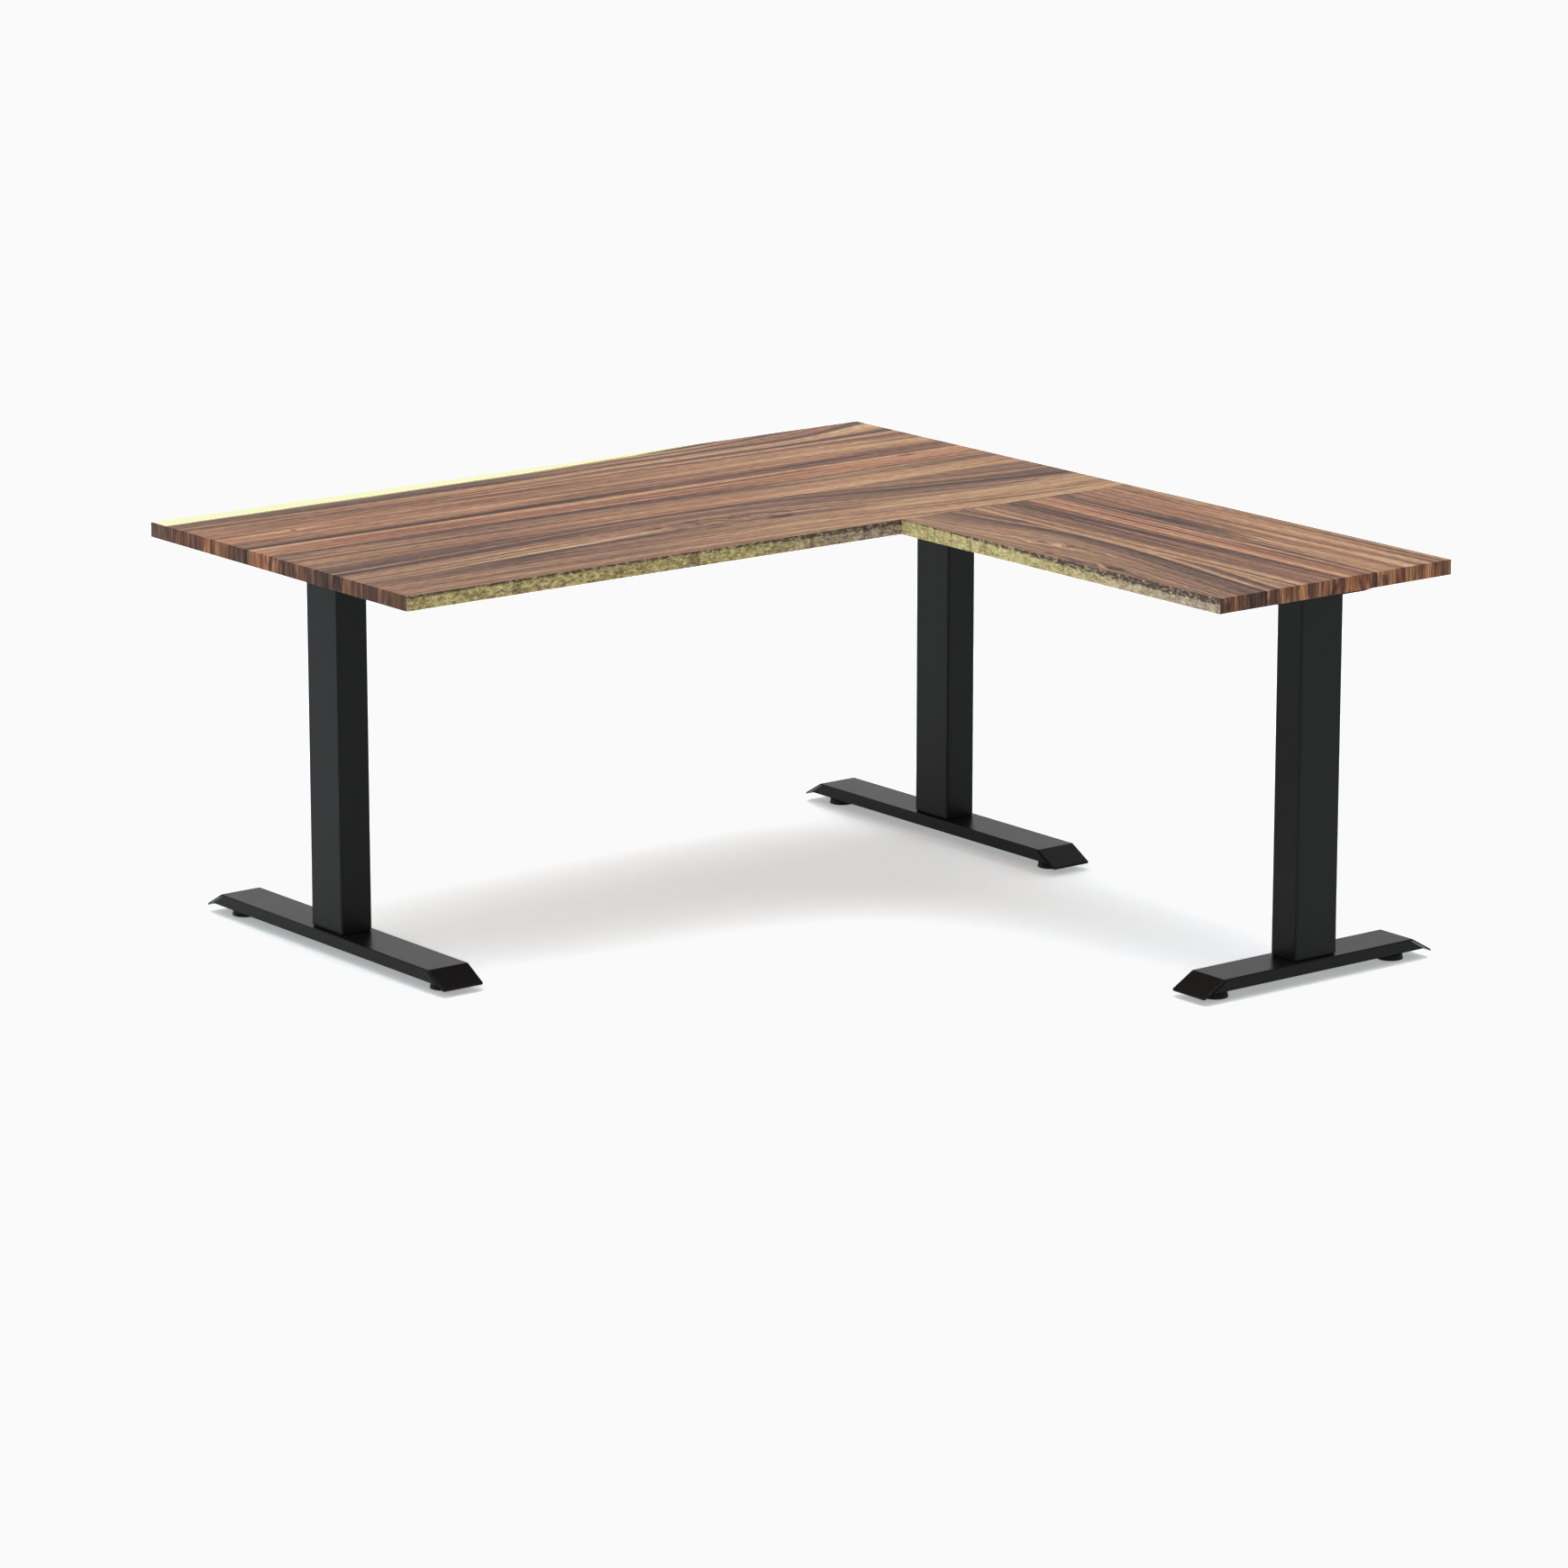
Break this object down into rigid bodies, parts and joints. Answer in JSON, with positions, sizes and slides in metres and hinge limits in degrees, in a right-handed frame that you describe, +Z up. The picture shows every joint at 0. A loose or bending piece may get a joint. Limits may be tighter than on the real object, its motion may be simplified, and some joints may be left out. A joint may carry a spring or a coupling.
{
  "type": "corner desk",
  "caption": "L-shaped corner desk with two butted timber worktops on three rectangular T-legs with folded steel feet and screw-adjusted levelling glides.",
  "frame": {"origin": "on the floor, under the middle of the worktops' outline (the return foot reaches 8 mm past it at +X)", "axes": "+X along the main worktop towards the corner leg, +Y from the return towards the main worktop's back edge, +Z up"},
  "size_m": [1.5071, 1.55, 0.675],
  "materials": {
    "main_timber": "satin oiled hardwood, grain along X",
    "return_timber": "satin oiled hardwood, grain along Y",
    "black_powder_coat": "fine matt powder coat",
    "zinc_steel": "bright zinc plate",
    "black_nylon": "moulded, lightly textured"
  },
  "bodies": {
    "desk_frame": {"bracket_wood_screws": "zinc_steel", "column_cap_screws": "zinc_steel", "corner_base_plate": "black_powder_coat", "corner_cap_plate": "black_powder_coat", "corner_column": "black_powder_coat", "corner_foot": "black_powder_coat", "corner_foot_stiffener": "black_powder_coat", "corner_glide_nuts": "zinc_steel", "corner_side_bracket": "black_powder_coat", "foot_bolts": "zinc_steel", "left_base_plate": "black_powder_coat", "left_cap_plate": "black_powder_coat", "left_column": "black_powder_coat", "left_foot": "black_powder_coat", "left_foot_stiffener": "black_powder_coat", "left_glide_nuts": "zinc_steel", "left_side_bracket": "black_powder_coat", "main_front_rail": "black_powder_coat", "main_rear_rail": "black_powder_coat", "main_top": "main_timber", "rail_end_bolts": "zinc_steel", "rail_joint_bolts": "zinc_steel", "rail_nuts": "zinc_steel", "rail_wood_screws": "zinc_steel", "return_base_plate": "black_powder_coat", "return_cap_plate": "black_powder_coat", "return_column": "black_powder_coat", "return_foot": "black_powder_coat", "return_foot_stiffener": "black_powder_coat", "return_glide_nuts": "zinc_steel", "return_left_rail": "black_powder_coat", "return_right_rail": "black_powder_coat", "return_side_bracket": "black_powder_coat", "return_top": "return_timber", "seam_plate_left": "black_powder_coat", "seam_plate_middle": "black_powder_coat", "seam_plate_right": "black_powder_coat", "seam_plate_screws": "zinc_steel"},
    "left_front_glide_stem": {"left_front_glide_stud": "zinc_steel"},
    "left_front_glide_foot": {"left_front_glide_pad": "black_nylon"},
    "left_rear_glide_stem": {"left_rear_glide_stud": "zinc_steel"},
    "left_rear_glide_foot": {"left_rear_glide_pad": "black_nylon"},
    "corner_front_glide_stem": {"corner_front_glide_stud": "zinc_steel"},
    "corner_front_glide_foot": {"corner_front_glide_pad": "black_nylon"},
    "corner_rear_glide_stem": {"corner_rear_glide_stud": "zinc_steel"},
    "corner_rear_glide_foot": {"corner_rear_glide_pad": "black_nylon"},
    "return_left_glide_stem": {"return_left_glide_stud": "zinc_steel"},
    "return_left_glide_foot": {"return_left_glide_pad": "black_nylon"},
    "return_right_glide_stem": {"return_right_glide_stud": "zinc_steel"},
    "return_right_glide_foot": {"return_right_glide_pad": "black_nylon"}
  },
  "joints": [
    {"name": "left_front_glide_height", "type": "slide", "parent": "desk_frame", "child": "left_front_glide_stem", "axis": [0, 0, -1], "range_m": [0, 0.01]},
    {"name": "left_front_glide_turn", "type": "hinge", "parent": "left_front_glide_stem", "child": "left_front_glide_foot", "pos_m": [-0.636, 0.102, 0.01], "axis": [0, 0, -1], "range_deg": [0, 2880]},
    {"name": "left_rear_glide_height", "type": "slide", "parent": "desk_frame", "child": "left_rear_glide_stem", "axis": [0, 0, -1], "range_m": [0, 0.01]},
    {"name": "left_rear_glide_turn", "type": "hinge", "parent": "left_rear_glide_stem", "child": "left_rear_glide_foot", "pos_m": [-0.636, 0.686, 0.01], "axis": [0, 0, -1], "range_deg": [0, 2880]},
    {"name": "corner_front_glide_height", "type": "slide", "parent": "desk_frame", "child": "corner_front_glide_stem", "axis": [0, 0, -1], "range_m": [0, 0.01]},
    {"name": "corner_front_glide_turn", "type": "hinge", "parent": "corner_front_glide_stem", "child": "corner_front_glide_foot", "pos_m": [0.648, 0.102, 0.01], "axis": [0, 0, -1], "range_deg": [0, 2880]},
    {"name": "corner_rear_glide_height", "type": "slide", "parent": "desk_frame", "child": "corner_rear_glide_stem", "axis": [0, 0, -1], "range_m": [0, 0.01]},
    {"name": "corner_rear_glide_turn", "type": "hinge", "parent": "corner_rear_glide_stem", "child": "corner_rear_glide_foot", "pos_m": [0.648, 0.686, 0.01], "axis": [0, 0, -1], "range_deg": [0, 2880]},
    {"name": "return_left_glide_height", "type": "slide", "parent": "desk_frame", "child": "return_left_glide_stem", "axis": [0, 0, -1], "range_m": [0, 0.01]},
    {"name": "return_left_glide_turn", "type": "hinge", "parent": "return_left_glide_stem", "child": "return_left_glide_foot", "pos_m": [0.316, -0.704, 0.01], "axis": [0, 0, -1], "range_deg": [0, 2880]},
    {"name": "return_right_glide_height", "type": "slide", "parent": "desk_frame", "child": "return_right_glide_stem", "axis": [0, 0, -1], "range_m": [0, 0.01]},
    {"name": "return_right_glide_turn", "type": "hinge", "parent": "return_right_glide_stem", "child": "return_right_glide_foot", "pos_m": [0.7, -0.704, 0.01], "axis": [0, 0, -1], "range_deg": [0, 2880]}
  ],
  "couplings": [
    {"joint": "left_front_glide_height", "follows": "left_front_glide_turn", "m_per_rad": 0.00019894},
    {"joint": "left_rear_glide_height", "follows": "left_rear_glide_turn", "m_per_rad": 0.00019894},
    {"joint": "corner_front_glide_height", "follows": "corner_front_glide_turn", "m_per_rad": 0.00019894},
    {"joint": "corner_rear_glide_height", "follows": "corner_rear_glide_turn", "m_per_rad": 0.00019894},
    {"joint": "return_left_glide_height", "follows": "return_left_glide_turn", "m_per_rad": 0.00019894},
    {"joint": "return_right_glide_height", "follows": "return_right_glide_turn", "m_per_rad": 0.00019894}
  ]
}
